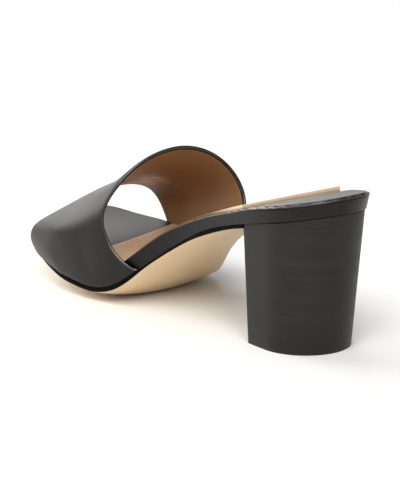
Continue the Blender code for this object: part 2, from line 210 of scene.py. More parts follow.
# Faces along and across each piece, or around and along the vamp.
PLATFORM_GRID = (280, 16)
PAD_GRID = (120, 24)
SOLE_GRID = (132, 16)
SOCK_GRID = (96, 28)
HEEL_GRID = (56, 28)
VAMP_GRID = (132, 60)

# Samples that the last is measured with.
PLAN_SAMPLES = 2401      # on each side of the plan
SECTION_SAMPLES = 241    # around each half of a section of the vamp
STATIONS = 220           # along the vamp, over its span
STATION_SPAN = (104 * MM, 212 * MM)
MERGE = 1e-7             # points nearer than this become one


# --- the last -----------------------------------------------------------------------------------

def spline(xs, ys):
    """The natural cubic spline through the points (xs, ys), as a function."""
    xs, ys = np.array(xs, float), np.array(ys, float)
    steps, last = np.diff(xs), len(xs) - 1
    system, load = np.eye(last + 1), np.zeros(last + 1)
    for i in range(1, last):
        system[i, i - 1:i + 2] = steps[i - 1], 2 * (steps[i - 1] + steps[i]), steps[i]
        load[i] = 6 * ((ys[i + 1] - ys[i]) / steps[i] - (ys[i] - ys[i - 1]) / steps[i - 1])
    bend = np.linalg.solve(system, load)

    def value(x):
        x = np.clip(x, xs[0], xs[-1])
        i = np.clip(np.searchsorted(xs, x, side="right") - 1, 0, last - 1)
        before, after, step = x - xs[i], xs[i + 1] - x, steps[i]
        cubic = (bend[i] * after**3 + bend[i + 1] * before**3) / (6 * step)
        start = (ys[i] / step - bend[i] * step / 6) * after
        end = (ys[i + 1] / step - bend[i + 1] * step / 6) * before
        return cubic + start + end

    return value


def columns(table, first=MM, rest=MM):
    """One spline for each column of a table after its first, both turned from millimetres to metres."""
    rows = np.array(table, float).T
    return [spline(rows[0] * first, row * rest) for row in rows[1:]]


rise, sag = columns(SOLE_PROFILE)
sole_reach, = columns(SOLE_REACH)
edge_line, edge_depth = columns(SOLE_EDGE)
top_line, = columns(TOP_LINE)
lean, = columns(SIDE_LEAN)
crown, lateral_reach, lateral_height, medial_reach, medial_height = columns(VAMP_SECTIONS)
topline, toe_opening = columns(VAMP_EDGES, first=1.0)


def plan_loop():
    """The footbed's plan as one closed loop of (along, across) points, and its outward normals."""
    points = np.array(FOOTBED_PLAN) * MM
    wrap = 3
    loop = np.vstack([points[-wrap:], points, points[:wrap + 1]])
    chord = np.concatenate([[0], np.cumsum(np.hypot(*np.diff(loop, axis=0).T))])
    back, tip, round_again = chord[wrap], chord[wrap + TOE_TIP], chord[wrap + len(points)]
    there = np.linspace(back, tip, PLAN_SAMPLES)[:-1]
    home = np.linspace(tip, round_again, PLAN_SAMPLES)[:-1]
    run = np.concatenate([there, home])
    loop = np.column_stack([spline(chord, loop[:, k])(run) for k in (0, 1)])
    tangent = np.roll(loop, -1, axis=0) - np.roll(loop, 1, axis=0)
    tangent /= np.hypot(*tangent.T)[:, None]
    return loop, np.column_stack([-tangent[:, 1], tangent[:, 0]])


PLAN, OUTWARDS = plan_loop()
SIGN = {"lateral": 1, "medial": -1}


def edge(side, outset=0.0):
    """A side of the plan moved outwards, from heel to toe. The outset may change along it."""
    shift = outset(PLAN[:, 0]) if callable(outset) else outset
    moved = PLAN + OUTWARDS * np.reshape(shift, (-1, 1))
    tip = PLAN_SAMPLES - 1
    return moved[:tip + 1] if side == "lateral" else np.vstack([moved[tip:], moved[:1]])[::-1]


def edge_at(side, along, outset=0.0):
    """How far across a side of the plan lies at a place along it, between the round ends."""
    points = edge(side, outset)
    return np.interp(along, points[:, 0], points[:, 1])


def eased(count, ease=0.5):
    """Fractions from 0 to 1 that crowd towards both ends."""
    even = np.linspace(0, 1, count + 1)
    return (1 - ease) * even + ease * (1 - np.cos(math.pi * even)) / 2


def rows_between(lateral, medial, grid):
    """Rows of (along, across) points from heel to toe, each running from one side to the other."""
    fractions = eased(grid[0])
    ends = []
    for points in (lateral, medial):
        run = np.concatenate([[0], np.cumsum(np.hypot(*np.diff(points, axis=0).T))])
        run /= run[-1]
        ends.append(np.column_stack([np.interp(fractions, run, points[:, k]) for k in (0, 1)]))
    reach = np.linspace(0, 1, grid[1] + 1)[None, :, None]
    return ends[0][:, None] * (1 - reach) + ends[1][:, None] * reach


def bulge(rows):
    """1 in the middle of each row, falling to 0 at both edges and where a row narrows to a tip."""
    reach = np.linspace(-1, 1, rows.shape[1])
    width = np.hypot(*(rows[:, -1] - rows[:, 0]).T)
    return np.minimum(width / TIP_WIDTH, 1)[:, None] * (1 - reach**2)


def outer(rows):
    """1 at the outer edge of each row, falling to 0 at its middle."""
    return np.clip(np.linspace(1, -1, rows.shape[1]), 0, 1)**2


def sole_bottom(rows):
    """Height of the sole's lower face, which lies flat where it meets the floor."""
    along = rows[..., 0]
    return np.maximum(rise(along) - sag(along) * bulge(rows) + edge_line(along) * outer(rows), 0)


def sole_top(rows):
    """Height of the sole's upper face. Its outer edge is thinner in places."""
    along = rows[..., 0]
    return sole_bottom(rows) + OUTSOLE + (edge_depth(along) - OUTSOLE) * outer(rows)


def footbed_top(along):
    """Height of the footbed's upper face, which is flat across."""
    return rise(along) + OUTSOLE + RIM + top_line(along)


def placed(rows, height):
    """Points on the last as positions in the part's frame."""
    height = np.broadcast_to(height, rows.shape[:-1])
    return np.stack([rows[..., 1] - MIDDLE_ACROSS, MIDDLE_ALONG - rows[..., 0], height], axis=-1)


def smooth(x, start, end):
    """0 before start, 1 after end, and a soft step between."""
    t = np.clip((x - start) / (end - start), 0, 1)
    return t * t * (3 - 2 * t)


def vamp_section(along):
    """Points around the vamp's outer surface at one place, from the lateral to the medial edge."""
    share = (along / MM - CREST_SPAN[0]) / (CREST_SPAN[1] - CREST_SPAN[0])
    crest = (CREST[0] + (CREST[1] - CREST[0]) * share) * MM
    top = crown(along)
    halves = []
    for side, reach, height, fullness in (
            ("lateral", lateral_reach, lateral_height, LATERAL_FULLNESS),
            ("medial", medial_reach, medial_height, MEDIAL_FULLNESS)):
        sign, power = SIGN[side], fullness[0] + (fullness[1] - fullness[0]) * share
        feather = abs(edge_at(side, along)) + WALL + CURVED_GAP
        outside = side == "lateral"
        foot = rise(along) + (edge_line(along) + edge_depth(along) if outside else OUTSOLE) + CLOSE
        wide, high = reach(along), height(along)
        climb = np.linspace(0, 1, SECTION_SAMPLES // 2, endpoint=False)**1.5
        side_out = feather + (wide - feather) * np.sin(climb * math.pi / 2)
        side_up = foot + (high - foot) * climb
        side_out -= FOOT_TUCK * np.exp(-(side_up - foot) / FOOT_TUCK)
        side_out += TOE_BELLY * smooth(along, *BELLY_SPAN) * np.cos(math.pi / 2 * climb)
        turn = np.linspace(0, math.pi / 2, SECTION_SAMPLES)
        over_out = sign * crest + (wide - sign * crest) * np.cos(turn)**(2 / power)
        over_up = high + (top - high) * np.sin(turn)**(2 / power)
        out = np.concatenate([side_out, over_out])
        halves.append(np.column_stack([sign * out, np.concatenate([side_up, over_up])]))
    return np.vstack([halves[0], halves[1][-2::-1]])


def softened(values, spread):
    """Values averaged with their neighbours, so many steps around. The ends keep their places."""
    if spread < 0.5:
        return values
    reach = int(3 * spread)
    weights = np.exp(-0.5 * (np.arange(-reach, reach + 1) / spread)**2)
    before = 2 * values[0] - values[reach:0:-1]
    after = 2 * values[-1] - values[-2:-reach - 2:-1]
    return np.convolve(np.concatenate([before, values, after]), weights / weights.sum(), mode="valid")


def vamp_chart():
    """The vamp's outer surface at even stations along it and even fractions around each section."""
    stations = np.linspace(*STATION_SPAN, STATIONS)
    fractions = np.linspace(0, 1, 2 * SECTION_SAMPLES)
    chart = []
    for along in stations:
        points = vamp_section(along)
        run = np.concatenate([[0], np.cumsum(np.hypot(*np.diff(points, axis=0).T))])
        spread = TOE_ROUNDING * smooth(along, *ROUNDING_SPAN) / run[-1] * (len(fractions) - 1)
        even = [np.interp(fractions * run[-1], run, points[:, k]) for k in (0, 1)]
        chart.append([softened(values, spread) for values in even])
    return stations, np.array(chart).transpose(0, 2, 1)


VAMP_STATIONS, VAMP_CHART = vamp_chart()


def vamp_outer(along, around):
    """Points on the vamp's outer surface, read from its chart between the nearest samples."""
    i = (along - VAMP_STATIONS[0]) / (VAMP_STATIONS[1] - VAMP_STATIONS[0])
    j = around * (VAMP_CHART.shape[1] - 1)
    i0 = np.clip(i.astype(int), 0, VAMP_CHART.shape[0] - 2)
    j0 = np.clip(j.astype(int), 0, VAMP_CHART.shape[1] - 2)
    fi, fj = (i - i0)[..., None], (j - j0)[..., None]
    near = VAMP_CHART[i0, j0] * (1 - fj) + VAMP_CHART[i0, j0 + 1] * fj
    far = VAMP_CHART[i0 + 1, j0] * (1 - fj) + VAMP_CHART[i0 + 1, j0 + 1] * fj
    point = near * (1 - fi) + far * fi
    return placed(np.stack([along, point[..., 0]], axis=-1), point[..., 1])


def vamp_at(along, around, depth):
    """Points a depth under the vamp's outer surface."""
    step, turn = 0.6 * MM, 0.006
    forward = vamp_outer(along + step, around) - vamp_outer(along - step, around)
    sideways = (vamp_outer(along, np.clip(around + turn, 0, 1))
                - vamp_outer(along, np.clip(around - turn, 0, 1)))
    inward = np.cross(forward, sideways)
    inward /= np.linalg.norm(inward, axis=-1)[..., None]
    return vamp_outer(along, around) + inward * np.broadcast_to(depth, along.shape)[..., None]


def troughs(along, around, table):
    """How deep soft troughs press into the vamp. Each runs straight between its two ends."""
    here = np.stack([around * VAMP_GIRTH, along], axis=-1)
    depth = np.zeros(along.shape)
    for around_a, along_a, around_b, along_b, deep, wide in table:
        start = np.array([around_a * VAMP_GIRTH, along_a * MM])
        run = np.array([around_b * VAMP_GIRTH, along_b * MM]) - start
        share = np.clip(((here - start) @ run) / (run @ run), 0, 1)
        away = np.linalg.norm(here - start - share[..., None] * run, axis=-1)
        depth += deep * MM * np.exp(-(away / (wide * MM))**2) * np.sin(math.pi * share)**0.6
    return depth


# --- making pieces ------------------------------------------------------------------------------

def deselect():
    """Leaves nothing selected, so that the next operator acts on its own piece alone."""
    for item in list(bpy.context.selected_objects):
        item.select_set(False)


def block(name, levels, finishes):
    """A closed body through grids of points: a flat grid, extruded once for each level and laid on them.

    The first and last level are its two faces. Each finish comes with the level that it reaches to; a
    side between two levels counts as half way between them.
    """
    levels = np.array(levels)
    depth, rows, across = levels.shape[:3]
    deselect()
    bpy.ops.mesh.primitive_grid_add(x_subdivisions=rows - 1, y_subdivisions=across - 1, size=2)
    piece = bpy.context.object
    piece.name = piece.data.name = name
    bpy.ops.object.mode_set(mode="EDIT")
    bpy.ops.mesh.select_all(action="SELECT")
    for _ in range(depth - 1):
        bpy.ops.mesh.extrude_region_move(TRANSFORM_OT_translate={"value": (0, 0, 1)})
    bpy.ops.object.mode_set(mode="OBJECT")
    flat = np.empty(len(piece.data.vertices) * 3)
    piece.data.vertices.foreach_get("co", flat)
    x, y, z = flat.reshape(-1, 3).T
    i = np.rint((x + 1) / 2 * (rows - 1)).astype(int)
    j = np.rint((y + 1) / 2 * (across - 1)).astype(int)
    k = np.rint(z).astype(int)
    piece.data.vertices.foreach_set("co", levels[k, i, j].ravel())
    for finish, _ in finishes:
        piece.data.materials.append(finish)
    for face in piece.data.polygons:
        level = np.mean([k[v] for v in face.vertices])
        face.material_index = sum(level > reached for _, reached in finishes[:-1])
    bpy.ops.object.mode_set(mode="EDIT")
    bpy.ops.mesh.select_all(action="SELECT")
    bpy.ops.mesh.remove_doubles(threshold=MERGE)
    bpy.ops.mesh.normals_make_consistent(inside=False)
    bpy.ops.mesh.select_all(action="DESELECT")
    bpy.ops.object.mode_set(mode="OBJECT")
    return piece


def finished(piece, node=None, round_edges=0.0, segments=3, sharp=40, angle=45):
    """Rounds a piece's hard edges, shades it, and sets it on the frame."""
    deselect()
    piece.select_set(True)
    bpy.context.view_layer.objects.active = piece
    if round_edges:
        rounding = piece.modifiers.new("round edges", "BEVEL")
        rounding.width = round_edges
        rounding.segments = segments
        rounding.limit_method = "ANGLE"
        rounding.angle_limit = math.radians(angle)
        bpy.ops.object.modifier_apply(modifier=rounding.name)
    bpy.ops.object.shade_smooth_by_angle(angle=math.radians(sharp))
    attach(piece, ROOT)
    if node:
        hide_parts(node)
    return piece


# --- finishes -----------------------------------------------------------------------------------

def feed(tree, socket, value):
    """Gives a socket another node's output, a number or a (red, green, blue) colour."""
    if isinstance(value, bpy.types.NodeSocket):
        tree.links.new(value, socket)
    elif socket.type == "RGBA":
        socket.default_value = (*value, 1)
    else:
        socket.default_value = value


def add(tree, kind, settings=None, **inputs):
    """Adds a shader node, with its settings and its inputs by name."""
    made = tree.nodes.new(kind)
    for name, value in (settings or {}).items():
        setattr(made, name, value)
    for name, value in inputs.items():
        feed(tree, made.inputs[name.replace("_", " ")], value)
    return made


def mixed(tree, factor, first, second):
    """The output of a mix of two colours."""
    mix = add(tree, "ShaderNodeMix", {"data_type": "RGBA"})
    for place, value in ((0, factor), (6, first), (7, second)):
        feed(tree, mix.inputs[place], value)
    return mix.outputs[2]


def maths(tree, operation, first, second=0.0, third=0.0, clamp=False):
    """The output of a Math node."""
    made = add(tree, "ShaderNodeMath", {"operation": operation, "use_clamp": clamp})
    for socket, value in zip(made.inputs, (first, second, third)):
        feed(tree, socket, value)
    return made.outputs[0]


def ranged(tree, value, start, end, low, high):
    """The output of a Map Range node, clamped and smooth."""
    made = add(tree, "ShaderNodeMapRange", {"interpolation_type": "SMOOTHSTEP"}, Value=value,
               From_Min=start, From_Max=end, To_Min=low, To_Max=high)
    return made.outputs[0]


def group(name, inputs, outputs):
    """A new shader node group with its sockets, and its input and output nodes."""
    tree = bpy.data.node_groups.new(name, "ShaderNodeTree")
    for label, kind, value in inputs:
        socket = tree.interface.new_socket(label, in_out="INPUT", socket_type=kind)
        if value is not None:
            socket.default_value = value
    for label, kind in outputs:
        tree.interface.new_socket(label, in_out="OUTPUT", socket_type=kind)
    return tree, tree.nodes.new("NodeGroupInput"), tree.nodes.new("NodeGroupOutput")


FLOAT, VECTOR = "NodeSocketFloat", "NodeSocketVector"


def grain_group():
    """Leather's grain: a height from pores and creases between them, and a mask of the pores."""
    tree, given, out = group(
        "leather grain",
        (("Place", VECTOR, None), ("Cells per metre", FLOAT, 1400.0)),
        (("Height", FLOAT), ("Pores", FLOAT)))
    warp = add(tree, "ShaderNodeTexNoise", Vector=given.outputs["Place"], Scale=260.0, Detail=2.0)
    shift = add(tree, "ShaderNodeVectorMath", {"operation": "SCALE"}, Vector=warp.outputs["Color"],
                Scale=0.0011)
    moved = add(tree, "ShaderNodeVectorMath", {"operation": "ADD"})
    tree.links.new(given.outputs["Place"], moved.inputs[0])
    tree.links.new(shift.outputs[0], moved.inputs[1])
    cells = add(tree, "ShaderNodeTexVoronoi", {"feature": "DISTANCE_TO_EDGE"}, Vector=moved.outputs[0],
                Scale=given.outputs["Cells per metre"])
    pebble = ranged(tree, cells.outputs["Distance"], 0.0, 0.34, 0.0, 1.0)
    fine = add(tree, "ShaderNodeTexNoise", Vector=given.outputs["Place"], Scale=5200.0, Detail=3.0)
    broad = add(tree, "ShaderNodeTexNoise", Vector=given.outputs["Place"], Scale=150.0, Detail=2.0)
    height = maths(tree, "MULTIPLY_ADD", fine.outputs["Fac"], 0.35, pebble)
    tree.links.new(maths(tree, "ADD", broad.outputs["Fac"], height), out.inputs["Height"])
    tree.links.new(maths(tree, "SUBTRACT", 1.0, pebble), out.inputs["Pores"])
    return tree


def mottle_group():
    """Slow changes of tone over a hide, between 0 and 1, in two sizes."""
    tree, given, out = group(
        "hide mottle",
        (("Place", VECTOR, None), ("Patches per metre", FLOAT, 45.0), ("Contrast", FLOAT, 1.0)),
        (("Tone", FLOAT),))
    large = add(tree, "ShaderNodeTexNoise", Vector=given.outputs["Place"],
                Scale=given.outputs["Patches per metre"], Detail=3.0, Roughness=0.55)
    small = add(tree, "ShaderNodeTexNoise", Vector=given.outputs["Place"], Scale=420.0, Detail=3.0,
                Roughness=0.6)
    both = maths(tree, "MULTIPLY_ADD", small.outputs["Fac"], 0.35,
                 maths(tree, "MULTIPLY", large.outputs["Fac"], 0.65))
    spread = maths(tree, "MULTIPLY_ADD", maths(tree, "SUBTRACT", both, 0.5),
                   maths(tree, "MULTIPLY", given.outputs["Contrast"], 2.4), 0.5, clamp=True)
    tree.links.new(spread, out.inputs["Tone"])
    return tree


def layers_group():
    """Thin level lines of a stacked heel: a height and a tone that change with the height alone."""
    tree, given, out = group(
        "stack layers",
        (("Place", VECTOR, None), ("Lines per metre", FLOAT, 900.0)),
        (("Height", FLOAT), ("Tone", FLOAT)))
    flat = add(tree, "ShaderNodeMapping", {"vector_type": "POINT"}, Vector=given.outputs["Place"],
               Scale=(0.035, 0.035, 1.0))
    lines = add(tree, "ShaderNodeTexNoise", Vector=flat.outputs[0],
                Scale=given.outputs["Lines per metre"], Detail=4.0, Roughness=0.6)
    bands = add(tree, "ShaderNodeTexNoise", Vector=flat.outputs[0], Scale=210.0, Detail=2.0)
    tone = maths(tree, "MULTIPLY_ADD", bands.outputs["Fac"], 0.5,
                 maths(tree, "MULTIPLY", lines.outputs["Fac"], 0.5))
    tree.links.new(lines.outputs["Fac"], out.inputs["Height"])
    tree.links.new(tone, out.inputs["Tone"])
    return tree


GRAIN, MOTTLE, LAYERS = grain_group(), mottle_group(), layers_group()
PORE_SHADE = 0.35        # how strongly a leather's pores darken
PORE_TONE = 0.6          # and how much darker than its dark tone they are
SHEEN_DRIFT = 0.08       # how much a leather's roughness drifts with its tone
STACK_SHEEN_DRIFT = 0.14
TOEWARD_SPAN = (0.068, 0.034)  # Y: from behind this to ahead of it, a cut edge turns to a darker tone


def using(tree, group_tree, **inputs):
    """A group placed in a material, with its values set or linked."""
    return add(tree, "ShaderNodeGroup", {"node_tree": group_tree}, **inputs)


def blank(name, roughness, specular):
    """A material with its Principled node, and the object's own coordinates."""
    finish = bpy.data.materials.new(name)
    finish.use_nodes = True
    tree = finish.node_tree
    shader = tree.nodes["Principled BSDF"]
    shader.inputs["Roughness"].default_value = roughness
    shader.inputs["Specular IOR Level"].default_value = specular
    return finish, tree, shader, add(tree, "ShaderNodeTexCoord").outputs["Object"]


def leather(name, dark, light, roughness, cells, relief, specular, patches=45.0, contrast=1.0):
    """Smooth leather: two tones that drift over the hide, fine grain, and a sheen that drifts too."""
    finish, tree, shader, place = blank(name, roughness, specular)
    tone = using(tree, MOTTLE, Place=place, Patches_per_metre=patches, Contrast=contrast)
    grain = using(tree, GRAIN, Place=place, Cells_per_metre=cells)
    colour = mixed(tree, tone.outputs["Tone"], dark, light)
    shade = maths(tree, "MULTIPLY", grain.outputs["Pores"], PORE_SHADE)
    pores = tuple(part * PORE_TONE for part in dark)
    tree.links.new(mixed(tree, shade, colour, pores), shader.inputs["Base Color"])
    sheen = maths(tree, "MULTIPLY_ADD", tone.outputs["Tone"], SHEEN_DRIFT, roughness - SHEEN_DRIFT / 2)
    tree.links.new(sheen, shader.inputs["Roughness"])
    bump = add(tree, "ShaderNodeBump", Height=grain.outputs["Height"], Strength=1.0, Distance=relief)
    tree.links.new(bump.outputs["Normal"], shader.inputs["Normal"])
    return finish


def painted_crease_highlight(finish, pale, place, reach):
    """Painted highlight: pale streaks in a leather round one place, drawn out across the shoe, where
    light grazes its creases.
    """
    tree = finish.node_tree
    shader = tree.nodes["Principled BSDF"]
    coordinates = add(tree, "ShaderNodeTexCoord").outputs["Object"]
    apart = add(tree, "ShaderNodeVectorMath", {"operation": "SUBTRACT"}, Vector=coordinates)
    apart.inputs[1].default_value = place
    squashed = add(tree, "ShaderNodeMapping", Vector=apart.outputs["Vector"], Scale=(0.6, 1.25, 1.25))
    away = add(tree, "ShaderNodeVectorMath", {"operation": "LENGTH"}, Vector=squashed.outputs["Vector"])
    near = ranged(tree, away.outputs["Value"], reach, reach * 0.4, 0.0, 1.0)
    drawn = add(tree, "ShaderNodeMapping", Vector=apart.outputs["Vector"], Scale=(70.0, 380.0, 380.0))
    streaks = add(tree, "ShaderNodeTexNoise", Vector=drawn.outputs["Vector"], Scale=1.0, Detail=3.0)
    clear = ranged(tree, streaks.outputs["Fac"], 0.34, 0.56, 0.3, 1.0)
    plain = shader.inputs["Base Color"].links[0].from_socket
    tree.links.new(mixed(tree, maths(tree, "MULTIPLY", near, clear), plain, pale),
                   shader.inputs["Base Color"])


def cut_leather(name, dark, light, skin):
    """A cut edge: layers of fibre that run level along it, turning to a darker tone towards the toe."""
    finish, tree, shader, place = blank(name, 0.75, 0.3)
    layers = using(tree, LAYERS, Place=place, Lines_per_metre=1500.0)
    tone = using(tree, MOTTLE, Place=place, Patches_per_metre=120.0, Contrast=1.0)
    both = maths(tree, "MULTIPLY_ADD", layers.outputs["Tone"], 0.6,
                 maths(tree, "MULTIPLY", tone.outputs["Tone"], 0.4))
    backward = add(tree, "ShaderNodeSeparateXYZ", Vector=place).outputs["Y"]
    toward_toe = ranged(tree, backward, *TOEWARD_SPAN, 0.0, 1.0)
    tree.links.new(mixed(tree, toward_toe, mixed(tree, both, dark, light), skin), shader.inputs["Base Color"])
    bump = add(tree, "ShaderNodeBump", Height=layers.outputs["Height"], Strength=1.0,
               Distance=0.06 * MM)
    tree.links.new(bump.outputs["Normal"], shader.inputs["Normal"])
    return finish


def stacked(name, dark, light, roughness, relief, specular):
    """Dyed stacked leather: level lines in tone, sheen and height."""
    finish, tree, shader, place = blank(name, roughness, specular)
    layers = using(tree, LAYERS, Place=place, Lines_per_metre=1100.0)
    tone = using(tree, MOTTLE, Place=place, Patches_per_metre=60.0, Contrast=0.8)
    both = maths(tree, "MULTIPLY_ADD", layers.outputs["Tone"], 0.75,
                 maths(tree, "MULTIPLY", tone.outputs["Tone"], 0.25))
    clear = ranged(tree, both, 0.3, 0.7, 0.0, 1.0)
    tree.links.new(mixed(tree, clear, dark, light), shader.inputs["Base Color"])
    sheen = maths(tree, "MULTIPLY_ADD", clear, STACK_SHEEN_DRIFT, roughness - STACK_SHEEN_DRIFT / 2)
    tree.links.new(sheen, shader.inputs["Roughness"])
    bump = add(tree, "ShaderNodeBump", Height=layers.outputs["Height"], Strength=1.0, Distance=relief)
    tree.links.new(bump.outputs["Normal"], shader.inputs["Normal"])
    return finish


BLACK_VAMP = leather("black vamp leather", (0.0025, 0.0022, 0.0022), (0.006, 0.005, 0.0046), 0.36,
                     cells=1500.0, relief=0.035 * MM, patches=30.0, specular=0.30)
# BLACK_WRAP, BLACK_COVER, BLACK_ROLL and BLACK_SEAT are copies of one black leather, lighter and
# glossier from the footbed's side to its top, its rolled edge and the seat pad: their lighter tones are
# painted highlight for reflections on the upward faces.
BLACK_WRAP = leather("black wrap leather", (0.003, 0.0025, 0.0025), (0.008, 0.006, 0.006), 0.33,
                     cells=1300.0, relief=0.045 * MM, patches=40.0, specular=0.24)
BLACK_COVER = leather("black cover leather", (0.006, 0.0055, 0.005), (0.012, 0.011, 0.010), 0.33,
                      cells=1500.0, relief=0.04 * MM, patches=40.0, specular=0.45)
BLACK_ROLL = leather("black rolled leather", (0.009, 0.008, 0.0075), (0.018, 0.0165, 0.015), 0.30,
                     cells=1500.0, relief=0.04 * MM, patches=60.0, specular=0.85)
BLACK_SEAT = leather("black seat leather", (0.006, 0.0055, 0.005), (0.022, 0.020, 0.0185), 0.32,
                     cells=1300.0, relief=0.05 * MM, patches=40.0, specular=1.0)
TURNED_EDGE = leather("black turned edge", (0.002, 0.002, 0.002), (0.005, 0.0045, 0.0045), 0.26,
                      cells=1500.0, relief=0.02 * MM, specular=0.9)
EDGE_PAINT = leather("black edge paint", (0.001, 0.001, 0.001), (0.002, 0.0018, 0.0017), 0.65,
                     cells=900.0, relief=0.03 * MM, specular=0.07)
TAN_LINING = leather("tan lining leather", (0.28, 0.135, 0.052), (0.40, 0.200, 0.080), 0.46,
                     cells=1700.0, relief=0.03 * MM, patches=30.0, contrast=0.8, specular=0.28)
# The pale streaks behind the toe opening are painted highlight, standing in for light from the opening
# that grazes the lining's wrinkles.
painted_crease_highlight(TAN_LINING, pale=(0.90, 0.62, 0.38), place=(-0.0055, -0.0670, 0.0465), reach=18 * MM)
TAN_SOCK = leather("tan sock leather", (0.46, 0.27, 0.15), (0.62, 0.42, 0.26), 0.50,
                   cells=1500.0, relief=0.03 * MM, patches=50.0, specular=0.35)
# The sock's cut edge in two tones: the pale upper layer is partly painted highlight, for the lit top
# face seen edge-on, and the darker backing below it is partly painted shade.
CUT_TAN_PAINTED_HIGHLIGHT = cut_leather("pale cut leather", (0.72, 0.52, 0.34), (0.92, 0.76, 0.56),
                      skin=(0.16, 0.10, 0.065))
RAW_TAN_PAINTED_SHADE = cut_leather("raw tan leather", (0.44, 0.26, 0.15), (0.66, 0.44, 0.28),
                      skin=(0.14, 0.08, 0.05))
SOLE_LEATHER = leather("natural sole leather", (0.86, 0.62, 0.36), (0.94, 0.73, 0.47), 0.42,
                       cells=1900.0, relief=0.02 * MM, patches=28.0, contrast=0.7, specular=0.4)
STACK = stacked("black stacked leather", (0.006, 0.006, 0.006), (0.017, 0.0155, 0.0145), 0.52,
                relief=0.05 * MM, specular=0.30)
TOP_RUBBER = leather("black top piece", (0.004, 0.0036, 0.0034), (0.008, 0.007, 0.0065), 0.45,
                     cells=1600.0, relief=0.03 * MM, specular=0.36)


# --- pieces -------------------------------------------------------------------------------------

def vamp_rows(inset, foot):
    """The vamp's grid, in from its edges and feet: how far along and around each point lies."""
    foot = foot / VAMP_GIRTH
    around = np.linspace(foot, 1 - foot, VAMP_GRID[0] + 1)[:, None]
    share = eased(VAMP_GRID[1], 0.3)[None, :]
    start, end = topline(around) + inset, toe_opening(around) - inset
    along = start + (end - start) * share
    return along, np.broadcast_to(around, along.shape)


def vamp():
    """The outer leather of the vamp, its edges folded over, with a fine crease beside the fold."""
    fold = VAMP_LEATHER / 2
    steps = [(FOLD_CREASE + inset * MM, depth * MM) for inset, depth in CREASE_STEPS]
    for turn in np.radians(FOLD_TURNS):
        steps.append((fold * (1 - math.cos(turn)), fold * (1 - math.sin(turn))))
    levels = []
    for inset, depth in steps:
        along, around = vamp_rows(inset, min(inset, fold) / 2)
        pressed = troughs(along, around, VAMP_PULLS) * (1 - depth / VAMP_LEATHER / 2)
        levels.append(vamp_at(along, around, depth + pressed))
    flat = len(CREASE_STEPS) - 0.5
    piece = block("vamp", levels, ((BLACK_VAMP, flat), (TURNED_EDGE, len(levels) - 1)))
    return finished(piece, "upper", sharp=50)


def vamp_lining():
    """The tan lining inside the vamp, its cut edge inside the turned edge."""
    along, around = vamp_rows(LINING_INSET, LINING_FOOT)
    depth = VAMP_LEATHER + LINING_GAP
    proud = troughs(along, around, LINING_WRINKLES)
    levels = [vamp_at(along, around, depth), vamp_at(along, around, depth + LINING + proud)]
    piece = block("vamp_lining", levels, ((TAN_LINING, 1),))
    return finished(piece, round_edges=0.1 * MM, segments=2)


def under(along):
    """How far the foot of the footbed's side stands out from the plan."""
    return -lean(along) * (along < LEAN_CHANGES)


def over(along):
    """How far the top of the footbed's side stands out from the plan."""
    return lean(along) * (along >= LEAN_CHANGES)


def seat(along, fades=SEAT_FADES):
    """1 round the heel seat, falling to 0 ahead of it."""
    return 1 - smooth(along, SEAT_EDGE, SEAT_EDGE + fades)


def pleats(along, across, turn):
    """The rolled edge's pleats, between -1 and 1, which cross it at a slant."""
    side, back = (
        np.sin(2 * math.pi * run / PLEAT + PLEAT_SLANT * turn + PLEAT_WANDER * np.sin(run / wander))
        for run, wander in zip((along, across), WANDER))
    share = smooth(along, *BACK_SPAN)
    wave = side * share + back * (1 - share)
    return (1 - 2 * (0.5 - 0.5 * wave)**PLEAT_PINCH) * seat(along)


def roll_radius(along):
    """Radius of the footbed's upper edge, which grows into the rolled edge round the seat."""
    return ROLL + (BEAD - ROLL) * seat(along)


def rolled(along, across, turn):
    """The same radius with the pleats, a turn down from the top."""
    return roll_radius(along) * (1 + PLEAT_DEPTH * pleats(along, across, turn))


def lower_radius(along):
    """Radius of the footbed's lower edge."""
    return (LOWER_EDGE[0] + LOWER_EDGE[1] * seat(along)) * MM


def ring(outset, height):
    """A level of the platform: rows over the plan moved outwards, at heights worked out from them."""
    rows = rows_between(*(edge(side, outset) for side in SIGN), PLATFORM_GRID)
    return placed(rows, height(rows))


def platform():
    """The footbed, wrapped in black leather whose edge is rolled and pleated round the heel seat."""
    along = PLAN[:, 0]
    groove = seat(along) * MM
    levels = []
    for inset, drop in COVER_STEPS:
        levels.append(ring(
            over(along) - COVER_INSET - inset * groove,
            lambda rows: footbed_top(rows[..., 0]) - drop * MM * seat(rows[..., 0])))
    for turn in np.radians(ROLL_TURNS):
        levels.append(ring(
            over(along) - rolled(*PLAN.T, turn) * (1 - math.cos(turn)),
            lambda rows: footbed_top(rows[..., 0]) - roll_radius(rows[..., 0])
            + rolled(rows[..., 0], rows[..., 1], turn) * math.sin(turn)))
    for share, crease in SIDE_STEPS:
        levels.append(ring(
            over(along) * (1 - share) + under(along) * share - crease * groove,
            lambda rows: footbed_top(rows[..., 0]) * (1 - share) + sole_top(rows) * share))
    for turn in np.linspace(math.pi / 2, 0, LOWER_EDGE_LEVELS):
        levels.append(ring(
            under(along) - lower_radius(along) * (1 - math.sin(turn)),
            lambda rows: sole_top(rows) + CLOSE + lower_radius(rows[..., 0]) * (1 - math.cos(turn))))
    roll = len(COVER_STEPS) + len(ROLL_TURNS) - 1
    # Lighter copies of the black leather on the top and the rolled edge, darker on the side: painted
    # highlight and painted shade.
    finishes = (BLACK_COVER, 0.5), (BLACK_ROLL, roll), (BLACK_WRAP, len(levels) - 1)
    piece = block("platform", levels, finishes)
    return finished(piece, "footbed", sharp=60)


def pad_top(along, middle):
    """Height of the pad's upper face. It is crowned, with 1 in its middle and 0 at its sides."""
    rises = PAD * (1 - smooth(along, *PAD_SPAN))
    return footbed_top(along) + rises * (1 - PAD_CROWN + PAD_CROWN * middle)


